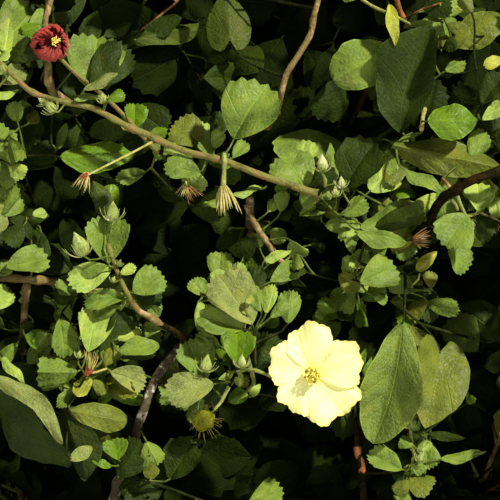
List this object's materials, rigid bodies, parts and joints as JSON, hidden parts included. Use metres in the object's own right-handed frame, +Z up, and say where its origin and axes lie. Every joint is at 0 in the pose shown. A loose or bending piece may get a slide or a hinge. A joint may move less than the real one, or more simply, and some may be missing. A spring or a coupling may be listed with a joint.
{
  "type": "potted pavonia shrub",
  "caption": "Potted pavonia shrub: a short woody stem forks into boughs that carry a rounded crown of small fan-shaped leaves and pale flowers above a tapered clay pot.",
  "frame": {"origin": "centre of the pot's flat underside, where it stands on the floor", "axes": "+Z up along the pot's axis, -Y towards the front of the crown, +X to the right seen from the front"},
  "size_m": [0.5706, 0.5741, 0.835],
  "materials": {
    "terracotta": "matte",
    "potting_mix": "matte",
    "bark": "matte",
    "foliage": "satin"
  },
  "bodies": {
    "root": {"pot": "terracotta", "potting_mix": "potting_mix", "trunk": "bark", "bough_middle_0": "bark", "bough_middle_1": "bark", "bough_middle_2": "bark", "bough_middle_3": "bark", "bough_middle_4": "bark", "bough_lower_0": "bark", "bough_lower_1": "bark", "bough_lower_2": "bark", "bough_lower_3": "bark", "bough_lower_4": "bark", "bough_upper_0": "bark", "bough_upper_1": "bark", "bough_upper_2": "bark", "bough_upper_3": "bark", "bough_top_0": "bark", "foliage_middle_0": "foliage", "foliage_middle_1": "foliage", "foliage_middle_2": "foliage", "foliage_middle_3": "foliage", "foliage_middle_4": "foliage", "foliage_lower_0": "foliage", "foliage_lower_1": "foliage", "foliage_lower_2": "foliage", "foliage_lower_3": "foliage", "foliage_lower_4": "foliage", "foliage_upper_0": "foliage", "foliage_upper_1": "foliage", "foliage_upper_2": "foliage", "foliage_upper_3": "foliage", "foliage_top_0": "foliage"}
  },
  "joints": []
}
